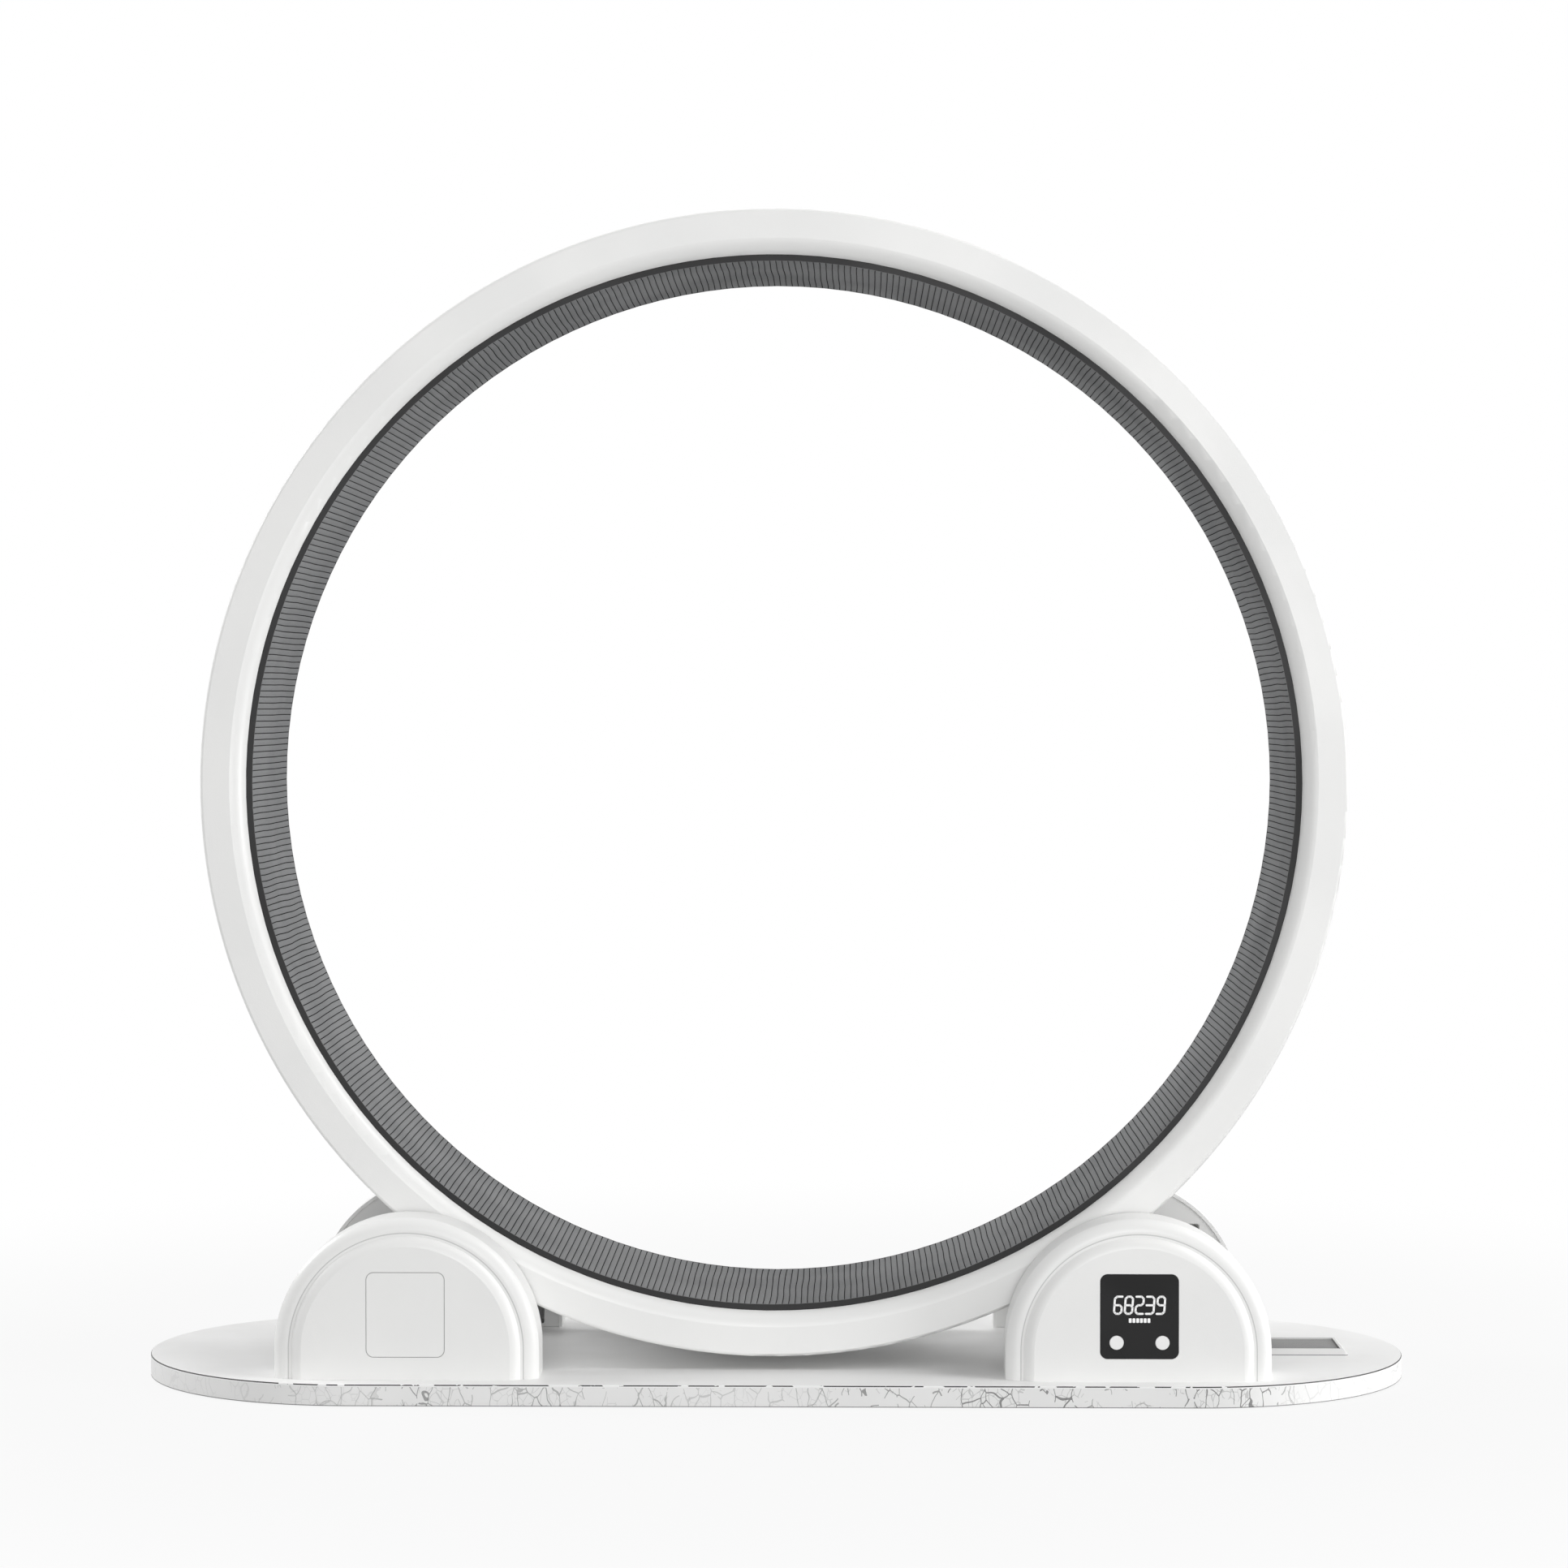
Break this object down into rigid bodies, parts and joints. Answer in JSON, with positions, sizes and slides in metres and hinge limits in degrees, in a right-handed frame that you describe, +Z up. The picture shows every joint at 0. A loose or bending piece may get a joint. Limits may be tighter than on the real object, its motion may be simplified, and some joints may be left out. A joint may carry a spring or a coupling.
{
  "type": "cat exercise wheel",
  "caption": "Hubless white running wheel for a cat, lined with a grey ribbed mat, on rollers in domed towers with a counter on a rounded base.",
  "frame": {"origin": "on the floor, straight below the middle of the wheel", "axes": "+Z up, +X along the base to the right, -Y to the front, where the counter is; the wheel turns about Y"},
  "size_m": [1.124, 0.395, 1.0313],
  "materials": {
    "white_moulding": "satin white injection moulding",
    "wall_moulding": "matt white moulding",
    "tray_moulding": "matt white moulding",
    "drum_plastic": "white sheet",
    "deck_white": "satin white laminate",
    "board_core": "fibreboard, painted edge",
    "edge_band": "fine crackled white edge band",
    "foot_rubber": "matt black",
    "mat_rubber": "matt grey, cross-ribbed",
    "trim_rubber": "matt black",
    "black_steel": "black powder coat",
    "zinc_steel": "bright zinc",
    "bearing_steel": "ground steel",
    "roller_rubber": "matt dark grey",
    "hub_plastic": "moulded white",
    "magnet_metal": "nickel plated",
    "lens_black": "gloss black acrylic",
    "case_black": "moulded black",
    "circuit_green": "green solder mask",
    "digit_display": "digit module, lit white",
    "cell_sleeve": "plain printed sleeve",
    "button_white": "satin white",
    "scratch_sisal": "grey sisal weave"
  },
  "bodies": {
    "base": {"front_left_cover": "white_moulding", "front_right_cover": "white_moulding", "rear_left_cover": "white_moulding", "rear_right_cover": "white_moulding", "blank_panel": "white_moulding", "front_left_inner_wall": "wall_moulding", "front_right_inner_wall": "wall_moulding", "rear_left_inner_wall": "wall_moulding", "rear_right_inner_wall": "wall_moulding", "scratch_tray": "tray_moulding", "base_deck": "deck_white", "base_board": "board_core", "edge_band": "edge_band", "base_feet": "foot_rubber", "front_left_cradle": "black_steel", "front_right_cradle": "black_steel", "rear_left_cradle": "black_steel", "rear_right_cradle": "black_steel", "front_left_axle": "zinc_steel", "front_right_axle": "zinc_steel", "rear_left_axle": "zinc_steel", "rear_right_axle": "zinc_steel", "axle_nuts": "zinc_steel", "axle_spacers": "zinc_steel", "wall_screws": "zinc_steel", "cradle_screws": "zinc_steel", "tower_screws": "zinc_steel", "counter_lens": "lens_black", "counter_case": "case_black", "battery_cover": "case_black", "speed_sensor": "case_black", "tact_switches": "case_black", "circuit_board": "circuit_green", "digit_module": "digit_display", "battery_cells": "cell_sleeve"},
    "wheel": {"front_rim": "white_moulding", "rear_rim": "white_moulding", "drum_shell": "drum_plastic", "running_mat": "mat_rubber", "front_mat_trim": "trim_rubber", "rear_mat_trim": "trim_rubber", "rim_screws": "zinc_steel", "counter_magnet": "magnet_metal"},
    "front_left_roller": {"front_left_tyre": "roller_rubber", "front_left_hub": "hub_plastic", "front_left_bearings": "bearing_steel"},
    "front_right_roller": {"front_right_tyre": "roller_rubber", "front_right_hub": "hub_plastic", "front_right_bearings": "bearing_steel"},
    "rear_left_roller": {"rear_left_tyre": "roller_rubber", "rear_left_hub": "hub_plastic", "rear_left_bearings": "bearing_steel"},
    "rear_right_roller": {"rear_right_tyre": "roller_rubber", "rear_right_hub": "hub_plastic", "rear_right_bearings": "bearing_steel"},
    "left_button": {"left_button": "button_white"},
    "right_button": {"right_button": "button_white"},
    "scratch_pad": {"scratch_pad": "scratch_sisal"}
  },
  "joints": [
    {"name": "wheel_spin", "type": "hinge", "parent": "base", "child": "wheel", "pos_m": [0, 0, 0.5313], "axis": [0, 1, 0], "continuous": true},
    {"name": "front_left_roller_spin", "type": "hinge", "parent": "base", "child": "front_left_roller", "pos_m": [-0.29046, -0.104, 0.08404], "axis": [0, 1, 0], "continuous": true},
    {"name": "front_right_roller_spin", "type": "hinge", "parent": "base", "child": "front_right_roller", "pos_m": [0.29046, -0.104, 0.08404], "axis": [0, 1, 0], "continuous": true},
    {"name": "rear_left_roller_spin", "type": "hinge", "parent": "base", "child": "rear_left_roller", "pos_m": [-0.29046, 0.104, 0.08404], "axis": [0, 1, 0], "continuous": true},
    {"name": "rear_right_roller_spin", "type": "hinge", "parent": "base", "child": "rear_right_roller", "pos_m": [0.29046, 0.104, 0.08404], "axis": [0, 1, 0], "continuous": true},
    {"name": "left_button_press", "type": "slide", "parent": "base", "child": "left_button", "axis": [0, 1, 0], "range_m": [0, 0.0007], "stiffness_N_per_m": 1500, "springref_m": -0.0005},
    {"name": "right_button_press", "type": "slide", "parent": "base", "child": "right_button", "axis": [0, 1, 0], "range_m": [0, 0.0007], "stiffness_N_per_m": 1500, "springref_m": -0.0005},
    {"name": "scratch_pad_lift", "type": "slide", "parent": "base", "child": "scratch_pad", "axis": [0, 0, 1], "range_m": [0, 0.05]}
  ],
  "couplings": [
    {"joint": "front_left_roller_spin", "follows": "wheel_spin", "ratio": -13.806},
    {"joint": "front_right_roller_spin", "follows": "wheel_spin", "ratio": -13.806},
    {"joint": "rear_left_roller_spin", "follows": "wheel_spin", "ratio": -13.806},
    {"joint": "rear_right_roller_spin", "follows": "wheel_spin", "ratio": -13.806}
  ]
}
